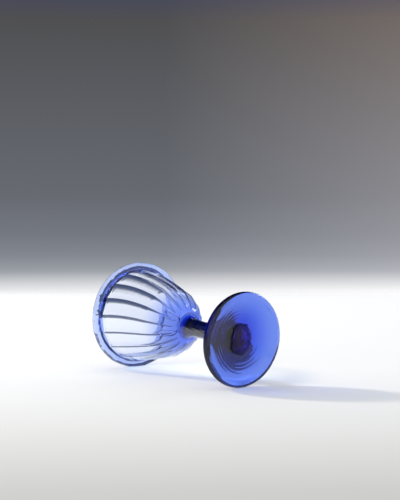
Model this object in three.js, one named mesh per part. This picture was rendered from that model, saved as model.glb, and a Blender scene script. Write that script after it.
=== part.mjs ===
// Hand-blown egg cup in cobalt glass, in millimetres, standing on its foot with +Z up through the mouth.
// The foot, the stem and the bowl are three gathers of glass joined hot, each to the flat end of the next.

import * as THREE from 'three';

// Foot: a spread cone with a rounded edge, drawn up to the stem, and a shallow hollow underneath
const footRadius = 22.5;
const footEdgeThickness = 2.9;
const footHeight = 14.5;
const footRestWidth = 1.2;
const footHollowDepth = 2.4;
const footCollarFlare = 2.0;
const footCollarHeight = 5.1;

// Stem: a solid round rod, swelling a little at both ends
const stemLength = 28.9;
const stemWaistRadius = 4.0;
const stemWaistHeight = 11.5;
const stemThroatRadius = 4.35;
const stemThroatHeight = 23;
const stemFootEndRadius = 5.2;
const stemBowlEndRadius = 6.2;

// Bowl: a round base, walls that open towards the mouth, and an outturned lip
const bowlHeight = 46.6;
const bowlFloorThickness = 4.6;
const bowlShoulderRadius = 17.4;
const bowlShoulderHeight = 14.6;
const bowlShoulderWall = 1.5;
const bowlNeckRadius = 23.5;
const bowlNeckWall = 1.1;
const lipRadius = 27.2;
const lipThickness = 4.0;
const lipRise = 6.2;
const lipInnerTurn = 150;
const neckCreaseOut = 0.15;
const neckCreaseUp = 0.35;
const innerShoulderLift = 0.8;

// Flutes: shallow hollows up the outside of the bowl, with a low sharp rib between each two
const ribCount = 18;
const ribHeight = 0.3;
const ribSharpness = 3.6;
const ribFadeHeight = 3;
const ribShareOnLip = 0.8;
const columnsPerRib = 6;

// How far the ribs stray from even spacing, in degrees: towards one side, and sideways half way up the wall
const ribCrowding = 3;
const ribCrowdedSide = 60;
const ribBow = 2;
const ribBowUneven = 4.8;
const ribBowSide = 33;

// Pontil scar: the broken ring of glass left under the foot by the iron rod
const scarRadius = 7.4;
const scarHeight = 1.2;
const scarPlateThickness = 0.5;
const scarSeatMargin = 0.8;
const scarWobble = 0.35;

const footColumns = 72;
const stemColumns = 36;
const curveSteps = 8;
const arcSteps = 7;
const axisTolerance = 0.001;

// A point of a lathe outline: distance from the axis, then height
function at(radius, height) {
  return new THREE.Vector2(radius, height);
}

// Points along a curve from one point to another, without the first, which the outline already holds.
// Each pull on the curve is given as shares of the way across and of the way up from start to end.
function bend(start, end, [startAcross, startUp], [endAcross, endUp], steps = curveSteps) {
  const partWay = (across, up) =>
    at(start.x + (end.x - start.x) * across, start.y + (end.y - start.y) * up);
  const startPull = partWay(startAcross, startUp);
  const endPull = partWay(endAcross, endUp);
  return new THREE.CubicBezierCurve(start, startPull, endPull, end).getPoints(steps).slice(1);
}

// Points along a round edge, from one angle to another in degrees
function roundEdge(centre, radius, fromDegrees, toDegrees, steps = arcSteps) {
  const points = [];
  for (let step = 0; step <= steps; step += 1) {
    const angle = THREE.MathUtils.degToRad(fromDegrees + ((toDegrees - fromDegrees) * step) / steps);
    points.push(at(centre.x + radius * Math.cos(angle), centre.y + radius * Math.sin(angle)));
  }
  return points;
}

// Turns an outline that runs up the outside into a closed solid about +Z
function turn(outline, columns) {
  return new THREE.LatheGeometry(outline, columns).rotateX(Math.PI / 2);
}

// Moves each vertex out from the axis by its push and round the axis by its sway. Both depend on the
// vertex's angle and height, the push also on its row of the outline.
function reshape(geometry, rows, push, sway = () => 0) {
  const position = geometry.attributes.position;
  for (let i = 0; i < position.count; i += 1) {
    const x = position.getX(i);
    const y = position.getY(i);
    const radius = Math.hypot(x, y);
    if (radius > axisTolerance) {
      const angle = Math.atan2(y, x);
      const level = position.getZ(i);
      const newRadius = radius + push(angle, level, i % rows);
      const newAngle = angle + sway(angle, level);
      position.setXY(i, newRadius * Math.cos(newAngle), newRadius * Math.sin(newAngle));
    }
  }
  geometry.computeVertexNormals();
  return geometry;
}

function glass(name, geometry, colour, roughness) {
  const material = new THREE.MeshStandardMaterial({ color: colour, roughness, metalness: 0 });
  const mesh = new THREE.Mesh(geometry, material);
  mesh.name = name;
  return mesh;
}

const smoothstep = THREE.MathUtils.smoothstep;

// Foot, from the axis under the hollow, out over the rounded edge and up to the stem's end
function makeFoot() {
  const edgeRadius = footEdgeThickness / 2;
  const edgeCentre = at(footRadius - edgeRadius, edgeRadius);
  const restInner = at(edgeCentre.x - footRestWidth, 0);
  const seatEdge = at(scarRadius + scarSeatMargin, footHollowDepth);
  const edgeTop = at(edgeCentre.x, footEdgeThickness);
  const collar = at(stemFootEndRadius + footCollarFlare, footHeight - footCollarHeight);
  const top = at(stemFootEndRadius, footHeight);
  const outline = [
    at(0, footHollowDepth),
    seatEdge,
    ...bend(seatEdge, restInner, [0.35, 0.15], [0.74, 0.68], 5),
    ...roundEdge(edgeCentre, edgeRadius, -90, 90, 8),
    ...bend(edgeTop, collar, [0.2, 0.07], [0.66, 0.6]),
    ...bend(collar, top, [0.55, 0.3], [1, 0.6], 4),
    at(0, footHeight),
  ];
  return glass('foot', turn(outline, footColumns), 0x2a3fd0, 0.08);
}

// Stem, a solid rod between the flat top of the foot and the flat base of the bowl
function makeStem() {
  const footEnd = at(stemFootEndRadius, 0);
  const waist = at(stemWaistRadius, stemWaistHeight);
  const throat = at(stemThroatRadius, stemThroatHeight);
  const bowlEnd = at(stemBowlEndRadius, stemLength);
  const outline = [
    at(0, 0),
    footEnd,
    ...bend(footEnd, waist, [0.17, 0.25], [1, 0.62]),
    ...bend(waist, throat, [0, 0.38], [0.7, 0.75], 4),
    ...bend(throat, bowlEnd, [0.12, 0.5], [0.41, 0.8], 5),
    at(0, stemLength),
  ];
  return glass('stem', turn(outline, stemColumns), 0x0a1048, 0.06);
}

// Outline of the bowl's outside, from the axis under the base, up the wall and over the lip
function bowlOutside() {
  const base = at(stemBowlEndRadius, 0);
  const shoulder = at(bowlShoulderRadius, bowlShoulderHeight);
  const neck = at(bowlNeckRadius, bowlHeight - lipRise);
  const crease = at(neck.x + neckCreaseOut, neck.y + neckCreaseUp);
  const lipRound = lipThickness / 2;
  const lipCentre = at(lipRadius - lipRound, bowlHeight - lipRound);
  const lipEdge = roundEdge(lipCentre, lipRound, 0, lipInnerTurn, 5);
  return [
    at(0, 0),
    base,
    ...bend(base, shoulder, [0.28, 0.02], [0.82, 0.6], 7),
    ...bend(shoulder, neck, [0.37, 0.3], [0.74, 0.66], 6),
    crease,
    ...bend(crease, lipEdge[0], [0.8, 0.02], [1, 0.3], 5),
    ...lipEdge.slice(1),
  ];
}

// Outline of the bowl's inside, from the end of the lip's round edge down to the axis on the floor
function bowlInside(lipEnd) {
  const neck = at(bowlNeckRadius - bowlNeckWall, bowlHeight - lipRise);
  const shoulder = at(bowlShoulderRadius - bowlShoulderWall, bowlShoulderHeight + innerShoulderLift);
  const floor = at(0, bowlFloorThickness);
  return [
    ...bend(lipEnd, neck, [0.3, 0.5], [0.9, 0.75], 3),
    ...bend(neck, shoulder, [0.26, 0.34], [0.63, 0.7], 5),
    ...bend(shoulder, floor, [0.15, 0.5], [0.52, 1], 6),
  ];
}

// Height of the ribs at a level of the bowl: none on the flat base, lower again over the lip
function ribHeightAt(level) {
  const risesFromBase = smoothstep(level, 0, ribFadeHeight);
  const fadesOverLip = smoothstep(level, bowlHeight - lipRise, bowlHeight);
  return ribHeight * risesFromBase * (1 - (1 - ribShareOnLip) * fadesOverLip);
}

// Share of the full rib at an angle: 1 on the sharp crest, falling to 0 in the middle of the flute
function ridge(angle) {
  const place = (angle * ribCount) / (2 * Math.PI);
  const fromCrest = 2 * Math.abs(place - Math.round(place));
  return (1 - fromCrest) ** ribSharpness;
}

// Angle in radians by which the glass strays round the axis: the bow is nil at the base and at the neck
function ribSway(angle, level) {
  const halfWay = (bowlHeight - lipRise) / 2;
  const bow = Math.max(0, 1 - (level / halfWay - 1) ** 2);
  const sineFrom = (side) => Math.sin(angle - THREE.MathUtils.degToRad(side));
  const crowding = ribCrowding * sineFrom(ribCrowdedSide);
  return THREE.MathUtils.degToRad(crowding + bow * (ribBow + ribBowUneven * sineFrom(ribBowSide)));
}

// Bowl, with its ribs raised on the outside only
function makeBowl() {
  const outside = bowlOutside();
  const outline = [...outside, ...bowlInside(outside[outside.length - 1])];
  const ribs = (angle, level, row) =>
    row > 1 && row < outside.length ? ridge(angle) * ribHeightAt(level) : 0;
  const geometry = reshape(turn(outline, ribCount * columnsPerRib), outline.length, ribs, ribSway);
  return glass('bowl', geometry, 0xa9bcff, 0.05);
}

// Pontil scar, a thin broken-edged ring of glass under the foot, face to face with the foot's hollow
function makePontilScar() {
  const outline = [
    at(0, -scarPlateThickness),
    at(scarRadius * 0.5, -scarPlateThickness),
    at(scarRadius * 0.72, -scarHeight),
    at(scarRadius * 0.88, -scarHeight * 0.9),
    at(scarRadius, -scarPlateThickness),
    at(scarRadius * 0.97, 0),
    at(0, 0),
  ];
  const wobble = (angle) => scarWobble * (0.6 * Math.sin(3 * angle + 1) + 0.4 * Math.sin(7 * angle));
  return glass('pontil_scar', reshape(turn(outline, stemColumns), outline.length, wobble), 0x1a2470, 0.45);
}

const eggCup = new THREE.Group();
const foot = makeFoot();
const stem = makeStem();
const bowl = makeBowl();
const scar = makePontilScar();
stem.position.z = footHeight;
bowl.position.z = footHeight + stemLength;
scar.position.z = footHollowDepth;
eggCup.add(foot, stem, bowl, scar);

export default eggCup;
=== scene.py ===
"""Looks of a hand-blown egg cup in cobalt glass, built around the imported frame.

The model stands upright on its foot. In the main view it lies on a table, as in the photograph: the
table is a plane that touches the lip and the foot's edge, and the camera is rolled to match it.
Sizes are in millimetres where no other unit is named.
"""

import math
from dataclasses import dataclass

import bpy
from mathutils import Matrix, Vector


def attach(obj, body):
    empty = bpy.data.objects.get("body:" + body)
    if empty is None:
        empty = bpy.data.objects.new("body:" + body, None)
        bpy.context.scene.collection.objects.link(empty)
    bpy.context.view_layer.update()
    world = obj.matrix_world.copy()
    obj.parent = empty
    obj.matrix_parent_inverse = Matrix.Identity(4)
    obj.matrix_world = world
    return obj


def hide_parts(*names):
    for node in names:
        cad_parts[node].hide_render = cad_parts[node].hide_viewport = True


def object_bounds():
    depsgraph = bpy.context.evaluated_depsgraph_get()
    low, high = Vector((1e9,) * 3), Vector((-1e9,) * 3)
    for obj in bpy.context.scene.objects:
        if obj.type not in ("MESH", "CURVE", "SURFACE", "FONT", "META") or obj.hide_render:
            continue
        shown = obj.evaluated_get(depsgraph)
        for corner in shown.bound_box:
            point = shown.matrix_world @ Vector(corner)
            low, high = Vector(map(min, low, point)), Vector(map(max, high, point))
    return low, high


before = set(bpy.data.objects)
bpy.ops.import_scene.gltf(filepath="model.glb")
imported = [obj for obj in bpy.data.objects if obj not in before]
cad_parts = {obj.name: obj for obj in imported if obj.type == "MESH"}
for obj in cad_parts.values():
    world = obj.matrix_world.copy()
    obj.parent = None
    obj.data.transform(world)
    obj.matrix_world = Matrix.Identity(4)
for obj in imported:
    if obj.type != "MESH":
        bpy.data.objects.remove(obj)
cad_low, cad_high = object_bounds()

# A millimetre in metres, the unit of meshes, lamps and cameras
MM = 0.001

WHITE = (1.0, 1.0, 1.0)

# Foot
FOOT_RADIUS = 22.5
FOOT_EDGE_THICKNESS = 2.9
FOOT_HEIGHT = 14.5
FOOT_REST_WIDTH = 1.2
FOOT_HOLLOW_DEPTH = 2.4
FOOT_COLLAR_FLARE = 2.0
FOOT_COLLAR_HEIGHT = 5.1
FOOT_COLUMNS = 288
SEAT_ROWS = 4
UNDERSIDE_ROWS = 84

# Ripples turned into the foot's underside: rings that bend out of round, with finer rings between
RIPPLE_HEIGHT = 0.03
RIPPLE_PITCH = 1.7
RIPPLE_END = 17.5
RIPPLE_FADE = 3.0
FINE_RIPPLE_SHARE = 0.6
FINE_RIPPLE_RATIO = 2.3
FINE_RIPPLE_START = 1.0

# Bends of one ring: how many round the foot, and how far they shift the ring, in radians of its wave
RIPPLE_BENDS = [(2, 0.9), (5, 0.7)]

# Patches of higher and lower rings: mean height, how much it varies, patches round the foot, and
# their twist in radians per millimetre
RIPPLE_MEAN = 0.8
RIPPLE_SPREAD = 0.5
RIPPLE_PATCHES = 4
RIPPLE_TWIST = 0.9

# Stem
STEM_LENGTH = 28.9
STEM_WAIST_RADIUS = 4.0
STEM_WAIST_HEIGHT = 11.5
STEM_THROAT_RADIUS = 4.35
STEM_THROAT_HEIGHT = 23.0
STEM_FOOT_END_RADIUS = 5.2
STEM_BOWL_END_RADIUS = 6.2
STEM_COLUMNS = 160

# Marks of the tongs on the stem, fading out towards both ends. Each wave is how many there are round
# the axis, its twist in radians per millimetre and its start in radians.
STEM_MARK_HEIGHT = 0.075
STEM_MARK_FADE = 3.0
STEM_MARKS = [(12, 2.6, 0.0), (9, -3.4, 0.0)]

# Bowl
BOWL_HEIGHT = 46.6
BOWL_FLOOR_THICKNESS = 4.6
BOWL_SHOULDER_RADIUS = 17.4
BOWL_SHOULDER_HEIGHT = 14.6
BOWL_SHOULDER_WALL = 1.5
BOWL_NECK_RADIUS = 23.5
BOWL_NECK_WALL = 1.1
NECK_CREASE_OUT = 0.15
NECK_CREASE_UP = 0.35
INNER_SHOULDER_LIFT = 0.8
LIP_RADIUS = 27.2
LIP_THICKNESS = 4.0
LIP_RISE = 6.2
LIP_INNER_TURN = 150.0

# Rows of each flat face, between the axis and the edge
FLAT_ROWS = 3

# Flutes on the outside of the bowl, with a sharp rib between each two
RIB_COUNT = 18
RIB_HEIGHT = 0.3
RIB_CREST = 0.04
RIB_SHARPNESS = 3.6
RIB_FADE_HEIGHT = 3.0
RIB_SHARE_ON_LIP = 0.3
COLUMNS_PER_RIB = 24

# How far the ribs stray from even spacing: they stand widest apart on the open side and crowd
# opposite it, and half way up the wall they bow sideways, most on the bow's side
RIB_CROWDING = math.radians(3.0)
RIB_OPEN_SIDE = math.radians(60.0)
RIB_BOW = math.radians(2.0)
RIB_BOW_UNEVEN = math.radians(4.8)
RIB_BOW_SIDE = math.radians(123.0)

# Pontil scar, narrower across than along its long side
SCAR_RADIUS = 7.4
SCAR_HEIGHT = 1.2
SCAR_PLATE = 0.5
SCAR_FUSED_RADIUS = 4.8
SCAR_SEAT_MARGIN = 0.8
SCAR_NARROWING = 5 / 3
SCAR_LONG_SIDE = math.radians(145.0)
SCAR_COLUMNS = 120
SCAR_ROWS_PER_CORNER = 4

# Broken outline of the scar: waves round it, the start of each in radians and its size
SCAR_WOBBLES = [(3, 1.0, 0.25), (7, 0.0, 0.2), (17, 2.0, 0.3), (29, 4.0, 0.25)]

# Chips in its surface: chips round it, their twist in radians per millimetre and their start
SCAR_CHIP_DEPTH = 0.7
SCAR_CHIPS = [(7, 2.9, 0.0), (11, -3.7, 1.0)]

# How far a gather of glass keeps back from the face where it meets the next
JOINT_GAP = 0.02

# Height and radius of each flat face where two gathers are fused, and how far off that height the
# glass still belongs to the joint
JOINTS = [
    (FOOT_HOLLOW_DEPTH, SCAR_FUSED_RADIUS),
    (FOOT_HEIGHT, STEM_FOOT_END_RADIUS),
    (FOOT_HEIGHT + STEM_LENGTH, STEM_BOWL_END_RADIUS),
]
JOINT_REACH = 0.05

# The photograph's camera, in the frame of the table: behind the cup is +Y, up is +Z
CAMERA_ASIDE = 32.57
CAMERA_BACK = 622.4
CAMERA_HEIGHT = 90.93
CAMERA_PITCH = math.radians(2.772)
CAMERA_LENS = 86.4
CAMERA_SENSOR = 36.0

# Nearest and farthest things that the camera sees, in metres
CAMERA_CLIP = (0.01, 20.0)

# How the cup lies: its turn on the table, and the side of it that touches the table
CUP_YAW = math.radians(37.14)
TABLE_SIDE = math.radians(145.0)

# Glass absorbs red and green strongly and lets blue through
ABSORB_RED_GREEN = (0.037, 0.315)
GLASS_IOR = 1.5
FUSED_IOR = 1.001
WEAR_DETAIL = 4.0
WAVE_DETAIL = 1.5
WAVE_DEPTH = 1.0

# Heights between which the bowl's glass turns from deep blue at its base to clear
BASE_TINT_START = 44.0
BASE_TINT_END = 60.0

# Heights between which the bowl's glass grows wavier towards its lip
LIP_WAVES_START = 84.5
LIP_WAVES_FULL = 87.0


@dataclass
class Glass:
    """Looks of one gather of glass.

    density and blue set how much each metre absorbs, and how much blue it lets through. wear is the
    roughness of the dullest patches, waves the strength of the waviness, and both scales are per
    metre. coat strengthens the reflections.
    """

    density: float
    blue: float
    wear: float = 0.02
    wear_scale: float = 140.0
    waves: float = 0.05
    lip_waves: float = 0.0
    wave_scale: float = 90.0
    coat: float = 0.0
    coat_ior: float = GLASS_IOR
    coat_roughness: float = 0.03
    reflection_tint: tuple = WHITE
    base_tint: tuple = WHITE
    shadow_tint: tuple = (0.92, 0.785, 0.46)


BOWL_GLASS = Glass(
    density=145.0,
    blue=0.955,
    waves=0.025,
    lip_waves=0.45,
    wave_scale=220.0,
    coat=0.4,
    base_tint=(0.33, 0.46, 1.0),
    shadow_tint=(1.0, 0.985, 0.88),
)
STEM_GLASS = Glass(
    density=900.0,
    blue=0.68,
    wear=0.05,
    wear_scale=500.0,
    waves=0.1,
    wave_scale=450.0,
    coat=1.0,
    coat_ior=1.65,
    coat_roughness=0.02,
)
FOOT_GLASS = Glass(density=640.0, blue=0.915, coat=0.1)
SCAR_GLASS = Glass(
    density=2600.0,
    blue=0.66,
    wear=0.3,
    wear_scale=600.0,
    waves=0.7,
    wave_scale=500.0,
    reflection_tint=(0.85, 0.6, 1.0),
)

# Table of the main view. Its colours run from front to back, at shares of TABLE_SPAN, and are painted
# shade: dark near the camera, pale from the cup on. Both spans are in metres behind the cup.
TABLE_HALF_SIZE = 3000.0
TABLE_SPAN = (-0.6, 0.8)
TABLE_FADE = (0.36, 0.5)
TABLE_PAINTED_SHADE = [
    (0.0, (0.25, 0.25, 0.24)),
    (0.242, (0.65, 0.65, 0.62)),
    (0.272, (0.73, 0.73, 0.71)),
    (0.309, (0.81, 0.81, 0.79)),
    (0.356, (0.87, 0.87, 0.86)),
    (0.42, (0.93, 0.93, 0.93)),
]

# Floor of the other views, in metres
FLOOR_HALF_SIZE = 3.0
FLOOR_COLOUR = (0.9, 0.9, 0.9)

# Backdrop of the main view: the wall falls from white at the table to grey, a glow lightens it to
# the right, and a navy ceiling begins above the camera's view. RISE_SPAN holds sines of a ray's rise
# above the table, GLOW_SPAN sines of its turn to the right. The rest is at shares of RISE_SPAN.
RISE_SPAN = (-0.1, 0.7)
GLOW_SPAN = (-0.03, 0.17)
CEILING_SPAN = (0.3, 0.36)
WALL_COLOURS = [
    (0.022, (0.86, 0.865, 0.88)),
    (0.044, (0.32, 0.34, 0.376)),
    (0.06, (0.227, 0.242, 0.279)),
    (0.08, (0.178, 0.191, 0.223)),
    (0.12, (0.135, 0.145, 0.168)),
    (0.3, (0.08, 0.08, 0.085)),
]
GLOW_COLOURS = [(0.1, (0.125, 0.115, 0.117)), (0.3, (0.09, 0.064, 0.047))]
CEILING_COLOURS = [(0.36, (0.038, 0.048, 0.127)), (0.7, (0.0024, 0.0037, 0.0296))]

# What the glass shows of the backdrop is cooler than the backdrop itself, except near the table
COOLING = [(0.04, WHITE), (0.13, (0.72, 0.88, 1.3))]

# The backdrop belongs to the lying cup, so it shows only where a ray runs from the foot towards the
# mouth, and other directions are pale. Sines of a ray's rise along the cup between which it takes
# over, for the camera's own rays and for those that come through the glass.
BACKDROP_SEEN = (0.2, 0.5)
BACKDROP_IN_GLASS = (-1.0, 0.12)
PALE_SURROUND = (0.93, 0.93, 0.93)

# Light on everything from all around
FILL_COLOUR = (0.95, 0.97, 1.0)
FILL_STRENGTH = 0.71

# Lamps: the direction from the cup in the table's frame, then distance and size in metres
KEY_LAMP = {
    "toward": (-0.78, 0.331, 0.53),
    "distance": 1.2,
    "size": (0.12, 0.12),
    "power": 9.0,
    "colour": (1.0, 0.98, 0.95),
}
SIDE_LAMP = {
    "toward": (0.66, 0.53, 0.53),
    "distance": 1.1,
    "size": (0.4, 0.2),
    "power": 1.2,
    "colour": WHITE,
}


# Outlines

def at(radius, height):
    """A point of a lathe outline: distance from the axis, then height."""
    return Vector((radius, height))


def bend(start, end, start_pull, end_pull, steps):
    """Points along a curve, without the first. Pulls are shares of the way across and up."""
    span = end - start
    a = start + Vector((span.x * start_pull[0], span.y * start_pull[1]))
    b = start + Vector((span.x * end_pull[0], span.y * end_pull[1]))
    points = []
    for step in range(1, steps + 1):
        t = step / steps
        u = 1 - t
        points.append(start * u**3 + a * 3 * u * u * t + b * 3 * u * t * t + end * t**3)
    return points


def round_edge(centre, radius, start, end, steps):
    """Points along a round edge, from one angle to another in degrees."""
    points = []
    for step in range(steps + 1):
        angle = math.radians(start + (end - start) * step / steps)
        points.append(centre + Vector((radius * math.cos(angle), radius * math.sin(angle))))
    return points


def straight(start, end, steps):
    """Points along a straight line, without the first."""
    return [start.lerp(end, step / steps) for step in range(1, steps + 1)]


def smoothstep(value, low, high):
    """0 below low, 1 above high, with an eased rise between."""
    t = min(1.0, max(0.0, (value - low) / (high - low)))
    return t * t * (3 - 2 * t)


def crossed_waves(waves, angle, along):
    """Product of waves round the axis, each twisted by the distance along the surface."""
    return math.prod(
        math.sin(count * angle + twist * along + start) for count, twist, start in waves
    )


# Meshes

def add_object(name, vertices, faces):
    """Object in the scene, made from vertices in metres."""
    mesh = bpy.data.meshes.new(name)
    mesh.from_pydata(vertices, [], faces)
    mesh.update()
    piece = bpy.data.objects.new(name, mesh)
    bpy.context.scene.collection.objects.link(piece)
    return piece


def lathe_faces(columns, rows):
    """Faces of a closed lathe whose vertices are one pole, the rows of columns and the other pole."""
    faces = []
    top = 1 + (rows - 1) * columns
    last_pole = top + columns
    for column in range(columns):
        after = (column + 1) % columns
        faces.append((0, 1 + after, 1 + column))
        for row in range(rows - 1):
            low = 1 + row * columns
            high = low + columns
            faces.append((low + column, low + after, high + after, high + column))
        faces.append((top + column, top + after, last_pole))
    return faces


def lathe(name, outline, base, columns, push, sway=None):
    """Closed mesh turned about Z from an outline that starts and ends on the axis.

    push gives how far a vertex moves out and up, and sway by what angle it moves round the axis.
    """
    rings = outline[1:-1]
    vertices = [(0.0, 0.0, (base + outline[0].y) * MM)]
    for row, point in enumerate(rings):
        for column in range(columns):
            angle = 2 * math.pi * column / columns
            out, up = push(row, point, angle)
            radius = point.x + out
            if sway:
                angle += sway(point.y, angle)
            vertices.append(
                (
                    radius * math.cos(angle) * MM,
                    radius * math.sin(angle) * MM,
                    (base + point.y + up) * MM,
                )
            )
    vertices.append((0.0, 0.0, (base + outline[-1].y) * MM))
    piece = add_object(name, vertices, lathe_faces(columns, len(rings)))
    for polygon in piece.data.polygons:
        polygon.use_smooth = True
    return piece


def square(half):
    """Corners of a level square round the origin."""
    return [(-half, -half, 0), (half, -half, 0), (half, half, 0), (-half, half, 0)]


# Materials

class Nodes:
    """Short way to add and link the nodes of one material or world."""

    def __init__(self, owner):
        owner.use_nodes = True
        self.tree = owner.node_tree
        self.tree.nodes.clear()

    def add(self, kind, **values):
        node = self.tree.nodes.new(kind)
        for key, value in values.items():
            setattr(node, key, value)
        return node

    def feed(self, target, source):
        """Links an output to an input, or sets the input's own value. Colours have three shares."""
        if isinstance(source, bpy.types.NodeSocket):
            self.tree.links.new(source, target)
        elif target.type == "RGBA":
            target.default_value = (*source, 1)
        else:
            target.default_value = source

    def value(self, operation, *items):
        """Result of a sum on outputs or plain numbers."""
        node = self.add("ShaderNodeMath", operation=operation)
        for socket, item in zip(node.inputs, items):
            self.feed(socket, item)
        return node.outputs[0]

    def along(self, source, vector):
        """Length of a vector output along a fixed direction."""
        node = self.add("ShaderNodeVectorMath", operation="DOT_PRODUCT")
        self.feed(node.inputs[0], source)
        self.feed(node.inputs[1], vector)
        return node.outputs["Value"]

    def share(self, source, span, result=(0.0, 1.0), kind="LINEAR"):
        """How far the source has come through a span, held at both ends."""
        node = self.add("ShaderNodeMapRange", interpolation_type=kind)
        self.feed(node.inputs["Value"], source)
        self.feed(node.inputs["From Min"], span[0])
        self.feed(node.inputs["From Max"], span[1])
        self.feed(node.inputs["To Min"], result[0])
        self.feed(node.inputs["To Max"], result[1])
        return node.outputs["Result"]

    def ramp(self, factor, stops):
        """Colour at the factor's place between stops, each a position and a colour."""
        node = self.add("ShaderNodeValToRGB")
        elements = node.color_ramp.elements
        elements[0].position, elements[0].color = stops[0][0], (*stops[0][1], 1)
        elements[1].position, elements[1].color = stops[-1][0], (*stops[-1][1], 1)
        for position, colour in stops[1:-1]:
            elements.new(position).color = (*colour, 1)
        self.feed(node.inputs[0], factor)
        return node.outputs[0]

    def noise(self, place, scale, detail):
        node = self.add("ShaderNodeTexNoise")
        self.feed(node.inputs["Vector"], place)
        self.feed(node.inputs["Scale"], scale)
        self.feed(node.inputs["Detail"], detail)
        return node.outputs["Fac"]

    def blend(self, factor, a, b, kind="MIX"):
        """Colour a, turned by the factor into b, or into their sum or product."""
        node = self.add("ShaderNodeMix", data_type="RGBA", blend_type=kind)
        self.feed(node.inputs["Factor"], factor)
        self.feed(node.inputs["A"], a)
        self.feed(node.inputs["B"], b)
        return node.outputs["Result"]

    def choose(self, factor, first, second):
        """The first shader where the factor is 0, the second where it is 1."""
        node = self.add("ShaderNodeMixShader")
        self.feed(node.inputs[0], factor)
        self.feed(node.inputs[1], first)
        self.feed(node.inputs[2], second)
        return node.outputs[0]

    def clear(self, tint=WHITE):
        node = self.add("ShaderNodeBsdfTransparent")
        self.feed(node.inputs["Color"], tint)
        return node.outputs[0]

    def diffuse(self, colour):
        node = self.add("ShaderNodeBsdfDiffuse")
        self.feed(node.inputs["Color"], colour)
        return node.outputs[0]

    def background(self, colour, strength):
        node = self.add("ShaderNodeBackground")
        self.feed(node.inputs["Color"], colour)
        self.feed(node.inputs["Strength"], strength)
        return node.outputs[0]


def fused_share(nodes, x, y, z):
    """1 on the flat faces where two gathers are fused, 0 on the rest of the glass."""
    across = nodes.value("MULTIPLY", x, x)
    from_axis = nodes.value("SQRT", nodes.value("MULTIPLY_ADD", y, y, across))
    share = 0.0
    for height, radius in JOINTS:
        level = nodes.value("COMPARE", z, height * MM, JOINT_REACH * MM)
        inside = nodes.value("LESS_THAN", from_axis, radius * MM)
        here = nodes.value("MULTIPLY", level, inside)
        share = nodes.value("MAXIMUM", share, here)
    return share


def add_wear(nodes, shader, place, fused, glass):
    """Patches of dull, handled glass. The fused faces stay clear."""
    patches = nodes.value("MULTIPLY", nodes.noise(place, glass.wear_scale, WEAR_DETAIL), glass.wear)
    less = nodes.value("MULTIPLY", patches, -1.0)
    nodes.feed(shader.inputs["Roughness"], nodes.value("MULTIPLY_ADD", fused, less, patches))


def add_waves(nodes, shader, place, height, glass):
    """Waviness of blown glass that is too fine for the mesh."""
    bump = nodes.add("ShaderNodeBump")
    nodes.feed(bump.inputs["Height"], nodes.noise(place, glass.wave_scale, WAVE_DETAIL))
    nodes.feed(bump.inputs["Distance"], WAVE_DEPTH * MM)
    strength = glass.waves
    if glass.lip_waves:
        lip = (LIP_WAVES_START * MM, LIP_WAVES_FULL * MM)
        strength = nodes.share(height, lip, (glass.waves, glass.lip_waves), "SMOOTHSTEP")
    nodes.feed(bump.inputs["Strength"], strength)
    nodes.feed(shader.inputs["Normal"], bump.outputs["Normal"])


def glass_material(name, glass):
    """Clear glass, coloured by what it absorbs on a ray's way through it.

    It throws a pale tinted shadow: most of a lamp's light passes, dimmed by the glass's own colour.
    """
    material = bpy.data.materials.new(name)
    nodes = Nodes(material)
    shader = nodes.add("ShaderNodeBsdfPrincipled")
    nodes.feed(shader.inputs["Base Color"], WHITE)
    nodes.feed(shader.inputs["Transmission Weight"], 1.0)
    nodes.feed(shader.inputs["IOR"], GLASS_IOR)
    nodes.feed(shader.inputs["Specular Tint"], glass.reflection_tint)
    nodes.feed(shader.inputs["Coat IOR"], glass.coat_ior)
    nodes.feed(shader.inputs["Coat Roughness"], glass.coat_roughness)

    place = nodes.add("ShaderNodeTexCoord").outputs["Object"]
    split = nodes.add("ShaderNodeSeparateXYZ")
    nodes.feed(split.inputs[0], place)
    x, y, height = split.outputs
    fused = fused_share(nodes, x, y, height)
    ior = nodes.value("MULTIPLY_ADD", fused, FUSED_IOR - GLASS_IOR, GLASS_IOR)
    nodes.feed(shader.inputs["IOR"], ior)
    if glass.coat:
        coat = nodes.value("MULTIPLY_ADD", fused, -glass.coat, glass.coat)
        nodes.feed(shader.inputs["Coat Weight"], coat)
    if glass.base_tint != WHITE:
        base = (BASE_TINT_START * MM, BASE_TINT_END * MM)
        fade = nodes.share(height, base, kind="SMOOTHSTEP")
        tint = nodes.ramp(fade, [(0.0, glass.base_tint), (1.0, WHITE)])
        nodes.feed(shader.inputs["Base Color"], tint)
    add_wear(nodes, shader, place, fused, glass)
    add_waves(nodes, shader, place, height, glass)

    absorb = nodes.add("ShaderNodeVolumeAbsorption")
    nodes.feed(absorb.inputs["Color"], (*ABSORB_RED_GREEN, glass.blue))
    nodes.feed(absorb.inputs["Density"], glass.density)
    shadow = nodes.add("ShaderNodeLightPath").outputs["Is Shadow Ray"]
    surface = nodes.choose(shadow, shader.outputs["BSDF"], nodes.clear(glass.shadow_tint))
    output = nodes.add("ShaderNodeOutputMaterial")
    nodes.feed(output.inputs["Surface"], surface)
    nodes.feed(output.inputs["Volume"], absorb.outputs["Volume"])
    return material


# The cup

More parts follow.
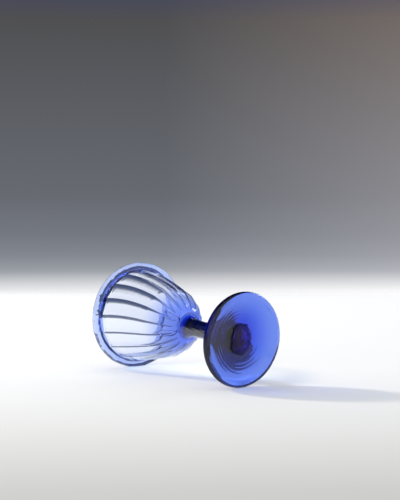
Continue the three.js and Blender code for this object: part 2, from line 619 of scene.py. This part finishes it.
def bowl_outside():
    """Outline from the axis under the base, up the wall and over the lip."""
    axis = at(0, JOINT_GAP)
    base = at(STEM_BOWL_END_RADIUS, JOINT_GAP)
    shoulder = at(BOWL_SHOULDER_RADIUS, BOWL_SHOULDER_HEIGHT)
    neck = at(BOWL_NECK_RADIUS, BOWL_HEIGHT - LIP_RISE)
    crease = neck + at(NECK_CREASE_OUT, NECK_CREASE_UP)
    lip_round = LIP_THICKNESS / 2
    lip_centre = at(LIP_RADIUS - lip_round, BOWL_HEIGHT - lip_round)
    lip = round_edge(lip_centre, lip_round, 0, LIP_INNER_TURN, steps=20)
    return [
        axis,
        *straight(axis, base, FLAT_ROWS),
        *bend(base, shoulder, (0.28, 0.02), (0.82, 0.6), steps=26),
        *bend(shoulder, neck, (0.37, 0.3), (0.74, 0.66), steps=30),
        *bend(neck, crease, (0.2, 0.6), (0.5, 0.9), steps=4),
        *bend(crease, lip[0], (0.8, 0.02), (1, 0.3), steps=18),
        *lip[1:],
    ]


def bowl_inside(lip_end):
    """Outline from the end of the lip's round edge down to the axis on the floor."""
    neck = at(BOWL_NECK_RADIUS - BOWL_NECK_WALL, BOWL_HEIGHT - LIP_RISE)
    shoulder_radius = BOWL_SHOULDER_RADIUS - BOWL_SHOULDER_WALL
    shoulder = at(shoulder_radius, BOWL_SHOULDER_HEIGHT + INNER_SHOULDER_LIFT)
    floor = at(0, BOWL_FLOOR_THICKNESS)
    return [
        *bend(lip_end, neck, (0.3, 0.5), (0.9, 0.75), steps=12),
        *bend(neck, shoulder, (0.26, 0.34), (0.63, 0.7), steps=28),
        *bend(shoulder, floor, (0.15, 0.5), (0.52, 1), steps=22),
    ]


def rib_height_at(level):
    """Height of the ribs at a level of the bowl: none on the flat base, lower again over the lip."""
    rises = smoothstep(level, 0, RIB_FADE_HEIGHT)
    fades = smoothstep(level, BOWL_HEIGHT - LIP_RISE, BOWL_HEIGHT)
    return RIB_HEIGHT * rises * (1 - (1 - RIB_SHARE_ON_LIP) * fades)


def ridge(angle):
    """Share of the rib's height: 1 on the eased crest, falling to the middle of the flute."""
    place = angle * RIB_COUNT / (2 * math.pi)
    from_crest = 2 * abs(place - round(place))
    eased = math.hypot(from_crest, RIB_CREST) - RIB_CREST
    return (1 - eased) ** RIB_SHARPNESS


def rib_sway(level, angle):
    """Angle by which the glass strays round the axis. The bow is nil at the base and at the neck."""
    half_way = (BOWL_HEIGHT - LIP_RISE) / 2
    bow = max(0.0, 1 - (level / half_way - 1) ** 2)
    crowding = RIB_CROWDING * math.sin(angle - RIB_OPEN_SIDE)
    return crowding + bow * (RIB_BOW + RIB_BOW_UNEVEN * math.cos(angle - RIB_BOW_SIDE))


def make_bowl():
    outside = bowl_outside()
    outline = [*outside, *bowl_inside(outside[-1])]

    def push(row, point, angle):
        """Ribs on the outside only, above the flat base."""
        if FLAT_ROWS <= row < len(outside) - 1:
            return ridge(angle) * rib_height_at(point.y), 0.0
        return 0.0, 0.0

    base = FOOT_HEIGHT + STEM_LENGTH
    piece = lathe("glass_bowl", outline, base, RIB_COUNT * COLUMNS_PER_RIB, push, rib_sway)
    piece.data.materials.append(glass_material("bowl glass", BOWL_GLASS))
    return piece


def make_stem():
    foot_axis = at(0, JOINT_GAP)
    foot_end = at(STEM_FOOT_END_RADIUS, JOINT_GAP)
    waist = at(STEM_WAIST_RADIUS, STEM_WAIST_HEIGHT)
    throat = at(STEM_THROAT_RADIUS, STEM_THROAT_HEIGHT)
    bowl_end = at(STEM_BOWL_END_RADIUS, STEM_LENGTH - JOINT_GAP)
    bowl_axis = at(0, STEM_LENGTH - JOINT_GAP)
    outline = [
        foot_axis,
        *straight(foot_axis, foot_end, FLAT_ROWS),
        *bend(foot_end, waist, (0.17, 0.25), (1, 0.62), steps=40),
        *bend(waist, throat, (0, 0.38), (0.7, 0.75), steps=40),
        *bend(throat, bowl_end, (0.12, 0.5), (0.41, 0.8), steps=24),
        *straight(bowl_end, bowl_axis, FLAT_ROWS),
    ]

    def push(row, point, angle):
        """Crossed marks that the tongs left in the soft rod, none near its ends."""
        from_foot = smoothstep(point.y, 0, STEM_MARK_FADE)
        near_bowl = smoothstep(point.y, STEM_LENGTH - STEM_MARK_FADE, STEM_LENGTH)
        marks = crossed_waves(STEM_MARKS, angle, point.y)
        return STEM_MARK_HEIGHT * from_foot * (1 - near_bowl) * marks, 0.0

    piece = lathe("glass_stem", outline, FOOT_HEIGHT, STEM_COLUMNS, push)
    piece.data.materials.append(glass_material("stem glass", STEM_GLASS))
    return piece


def ripple_at(radius, angle):
    """Ripple under the foot, as a share of its full height, at a distance from the axis."""
    phase = 2 * math.pi * radius / RIPPLE_PITCH
    phase += sum(shift * math.sin(count * angle) for count, shift in RIPPLE_BENDS)
    patch = math.sin(RIPPLE_PATCHES * angle + RIPPLE_TWIST * radius)
    fine = math.sin(FINE_RIPPLE_RATIO * phase + FINE_RIPPLE_START)
    return (RIPPLE_MEAN + RIPPLE_SPREAD * patch) * (math.sin(phase) + FINE_RIPPLE_SHARE * fine)


def make_foot():
    edge_radius = FOOT_EDGE_THICKNESS / 2
    edge_centre = at(FOOT_RADIUS - edge_radius, edge_radius)
    rest_inner = at(edge_centre.x - FOOT_REST_WIDTH, 0)
    seat_axis = at(0, FOOT_HOLLOW_DEPTH)
    seat_edge = at(SCAR_RADIUS + SCAR_SEAT_MARGIN, FOOT_HOLLOW_DEPTH)
    edge_top = at(edge_centre.x, FOOT_EDGE_THICKNESS)
    collar = at(STEM_FOOT_END_RADIUS + FOOT_COLLAR_FLARE, FOOT_HEIGHT - FOOT_COLLAR_HEIGHT)
    top = at(STEM_FOOT_END_RADIUS, FOOT_HEIGHT - JOINT_GAP)
    top_axis = at(0, FOOT_HEIGHT - JOINT_GAP)
    outline = [
        seat_axis,
        *straight(seat_axis, seat_edge, SEAT_ROWS),
        *bend(seat_edge, rest_inner, (0.35, 0.15), (0.74, 0.68), UNDERSIDE_ROWS),
        *round_edge(edge_centre, edge_radius, -90, 90, steps=20),
        *bend(edge_top, collar, (0.2, 0.07), (0.66, 0.6), steps=26),
        *bend(collar, top, (0.55, 0.3), (1, 0.6), steps=12),
        *straight(top, top_axis, FLAT_ROWS),
    ]

    def push(row, point, angle):
        """Ripples on the underside only, none near the seat or the rim."""
        if row >= SEAT_ROWS + UNDERSIDE_ROWS:
            return 0.0, 0.0
        from_seat = smoothstep(point.x, seat_edge.x, seat_edge.x + RIPPLE_PITCH)
        near_rim = smoothstep(point.x, RIPPLE_END - RIPPLE_FADE, RIPPLE_END)
        return 0.0, RIPPLE_HEIGHT * from_seat * (1 - near_rim) * ripple_at(point.x, angle)

    piece = lathe("glass_foot", outline, 0.0, FOOT_COLUMNS, push)
    piece.data.materials.append(glass_material("foot glass", FOOT_GLASS))
    return piece


def make_scar():
    """Broken ring of glass on a thin plate, given as shares of its radius and heights."""
    profile = [
        (0, -SCAR_PLATE),
        (0.25, -SCAR_PLATE),
        (0.5, -SCAR_PLATE),
        (0.62, -SCAR_PLATE * 1.5),
        (0.72, -SCAR_HEIGHT),
        (0.8, -SCAR_HEIGHT),
        (0.88, -SCAR_HEIGHT * 0.9),
        (1, -SCAR_PLATE),
        (0.97, -JOINT_GAP),
        (0.5, -JOINT_GAP),
        (0, -JOINT_GAP),
    ]
    corners = [at(SCAR_RADIUS * share, height) for share, height in profile]
    outline = [corners[0]]
    for start, end in zip(corners, corners[1:]):
        outline += straight(start, end, SCAR_ROWS_PER_CORNER)

    def push(row, point, angle):
        """Broken, oval outline, and chips that are deepest on the ring's crest."""
        wobble = sum(size * math.sin(count * angle + start) for count, start, size in SCAR_WOBBLES)
        wobble -= SCAR_NARROWING * math.sin(angle - SCAR_LONG_SIDE) ** 2
        depth = (-point.y - JOINT_GAP) / SCAR_HEIGHT
        chips = crossed_waves(SCAR_CHIPS, angle, point.x) ** 2
        return wobble * point.x / SCAR_RADIUS, SCAR_CHIP_DEPTH * depth * chips

    piece = lathe("glass_pontil_scar", outline, FOOT_HOLLOW_DEPTH, SCAR_COLUMNS, push)
    piece.data.materials.append(glass_material("scar glass", SCAR_GLASS))
    return piece


# The table and the camera

def table_frame():
    """Matrix from the table's frame, where the cup lies, to the model's frame, where it stands."""
    foot_edge = FOOT_EDGE_THICKNESS / 2
    lip_edge = LIP_THICKNESS / 2
    length = FOOT_HEIGHT + STEM_LENGTH + BOWL_HEIGHT - lip_edge - foot_edge
    tilt = math.atan2(LIP_RADIUS - FOOT_RADIUS, length)
    to_mouth = Vector(
        (
            -math.sin(CUP_YAW) * math.cos(tilt),
            math.cos(CUP_YAW) * math.cos(tilt),
            math.sin(tilt),
        )
    )
    up = Vector((0, 0, 1))
    away = (up - to_mouth * up.dot(to_mouth)).normalized()
    across = to_mouth.cross(away)
    lip_centre = Vector((0, 0, LIP_RADIUS * math.cos(tilt)))
    foot_centre = lip_centre - to_mouth * (length + foot_edge)
    cup_axes = Matrix((away, across, to_mouth)).transposed().to_4x4()
    turn = Matrix.Rotation(-TABLE_SIDE, 4, "Z")
    cup_on_table = Matrix.Translation(foot_centre) @ cup_axes @ turn
    return cup_on_table.inverted()


ON_TABLE = table_frame()


def to_metres(point):
    """A point of the table's frame, in the model's frame and in metres."""
    return (ON_TABLE @ Vector(point)) * MM


def direction(vector):
    """A direction of the table's frame, in the model's frame."""
    return (ON_TABLE.to_3x3() @ Vector(vector)).normalized()


# The table's own directions
BEHIND = direction((0, 1, 0))
TO_THE_RIGHT = direction((1, 0, 0))
ABOVE_TABLE = direction((0, 0, 1))


def make_camera():
    data = bpy.data.cameras.new("camera")
    data.lens = CAMERA_LENS
    data.sensor_width = CAMERA_SENSOR
    data.clip_start, data.clip_end = CAMERA_CLIP
    camera = bpy.data.objects.new("camera", data)
    bpy.context.scene.collection.objects.link(camera)
    look = direction((0, math.cos(CAMERA_PITCH), -math.sin(CAMERA_PITCH)))
    up = direction((0, math.sin(CAMERA_PITCH), math.cos(CAMERA_PITCH)))
    right = look.cross(up)
    axes = Matrix((right, up, -look)).transposed().to_4x4()
    place = Matrix.Translation(to_metres((CAMERA_ASIDE, -CAMERA_BACK, CAMERA_HEIGHT)))
    camera.matrix_world = place @ axes
    bpy.context.scene.camera = camera


def make_lamp(name, toward, distance, size, power, colour):
    """Area lamp, placed in a direction from the middle of the cup and aimed at it."""
    data = bpy.data.lights.new(name, "AREA")
    data.shape = "RECTANGLE"
    data.size, data.size_y = size
    data.energy = power
    data.color = colour
    lamp = bpy.data.objects.new(name, data)
    bpy.context.scene.collection.objects.link(lamp)
    middle = Vector((0, 0, (cad_low.z + cad_high.z) / 2))
    out = direction(toward)
    lamp.location = middle + out * distance
    lamp.rotation_mode = "QUATERNION"
    lamp.rotation_quaternion = out.to_track_quat("Z", "Y")
    return lamp


# The surroundings

def show_one_side(nodes, surface, hidden_from):
    """Shows a surface from its front only, and lets every ray in hidden_from pass through."""
    hidden = nodes.add("ShaderNodeNewGeometry").outputs["Backfacing"]
    for ray in hidden_from:
        hidden = nodes.value("MAXIMUM", hidden, ray)
    output = nodes.add("ShaderNodeOutputMaterial")
    nodes.feed(output.inputs["Surface"], nodes.choose(hidden, surface, nodes.clear()))


def make_table():
    """The table of the main view, with painted shade near the camera; it fades out behind the cup,
    where the backdrop takes over.
    """
    corners = [to_metres(corner) for corner in square(TABLE_HALF_SIZE)]
    table = add_object("table", corners, [(0, 1, 2, 3)])
    material = bpy.data.materials.new("table")
    table.data.materials.append(material)
    nodes = Nodes(material)
    position = nodes.add("ShaderNodeNewGeometry").outputs["Position"]
    cup_depth = to_metres((0, 0, 0)).dot(BEHIND)
    behind = nodes.value("SUBTRACT", nodes.along(position, BEHIND), cup_depth)
    # Painted shade: the table's colour darkens towards the camera, as if its light fell off there
    surface = nodes.diffuse(nodes.ramp(nodes.share(behind, TABLE_SPAN), TABLE_PAINTED_SHADE))
    faded = nodes.share(behind, TABLE_FADE, kind="SMOOTHSTEP")
    shadow = nodes.add("ShaderNodeLightPath").outputs["Is Shadow Ray"]
    show_one_side(nodes, surface, [shadow, faded])


def make_floor():
    """Pale floor under the standing cup. Only camera rays from above see it."""
    floor = add_object("floor", square(FLOOR_HALF_SIZE), [(0, 1, 2, 3)])
    material = bpy.data.materials.new("floor")
    floor.data.materials.append(material)
    nodes = Nodes(material)
    camera_ray = nodes.add("ShaderNodeLightPath").outputs["Is Camera Ray"]
    other_ray = nodes.value("SUBTRACT", 1.0, camera_ray)
    show_one_side(nodes, nodes.diffuse(FLOOR_COLOUR), [other_ray])


def backdrop(nodes, ray, other_ray):
    """Wall, glow and ceiling behind and above the lying cup, cooler in the glass."""
    rise = nodes.share(nodes.along(ray, ABOVE_TABLE), RISE_SPAN)
    to_right = nodes.share(nodes.along(ray, TO_THE_RIGHT), GLOW_SPAN)
    glow = nodes.ramp(rise, GLOW_COLOURS)
    wall = nodes.blend(to_right, nodes.ramp(rise, WALL_COLOURS), glow, "ADD")
    overhead = nodes.share(rise, CEILING_SPAN)
    colour = nodes.blend(overhead, wall, nodes.ramp(rise, CEILING_COLOURS))
    return nodes.blend(other_ray, colour, nodes.ramp(rise, COOLING), "MULTIPLY")


def make_world():
    """Backdrop of the lying cup, pale surroundings elsewhere, and an even fill light."""
    world = bpy.data.worlds.new("studio")
    bpy.context.scene.world = world
    nodes = Nodes(world)
    ray = nodes.add("ShaderNodeTexCoord").outputs["Generated"]
    path = nodes.add("ShaderNodeLightPath")
    camera_ray = path.outputs["Is Camera Ray"]
    other_ray = nodes.value("SUBTRACT", 1.0, camera_ray)

    takeover = [
        nodes.value("MULTIPLY_ADD", camera_ray, seen - in_glass, in_glass)
        for seen, in_glass in zip(BACKDROP_SEEN, BACKDROP_IN_GLASS)
    ]
    towards_mouth = nodes.share(nodes.along(ray, (0, 0, 1)), takeover, kind="SMOOTHSTEP")
    picture = nodes.blend(towards_mouth, PALE_SURROUND, backdrop(nodes, ray, other_ray))

    direct = nodes.value("MAXIMUM", camera_ray, path.outputs["Is Glossy Ray"])
    direct = nodes.value("MAXIMUM", direct, path.outputs["Is Transmission Ray"])
    fill = nodes.background(FILL_COLOUR, FILL_STRENGTH)
    output = nodes.add("ShaderNodeOutputWorld")
    surface = nodes.choose(direct, fill, nodes.background(picture, 1.0))
    nodes.feed(output.inputs["Surface"], surface)


for piece, node, slot in (
    (make_bowl(), "bowl", "bowl_glass"),
    (make_stem(), "stem", "stem_glass"),
    (make_foot(), "foot", "foot_glass"),
    (make_scar(), "pontil_scar", "scar_glass"),
):
    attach(piece, "root")
    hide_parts(node)

make_table()
make_floor()
make_world()

# The key lamp has no mirror image in the glass
make_lamp("key lamp", **KEY_LAMP).visible_glossy = False
make_lamp("side lamp", **SIDE_LAMP)
make_camera()
bpy.context.scene.view_settings.view_transform = "Standard"
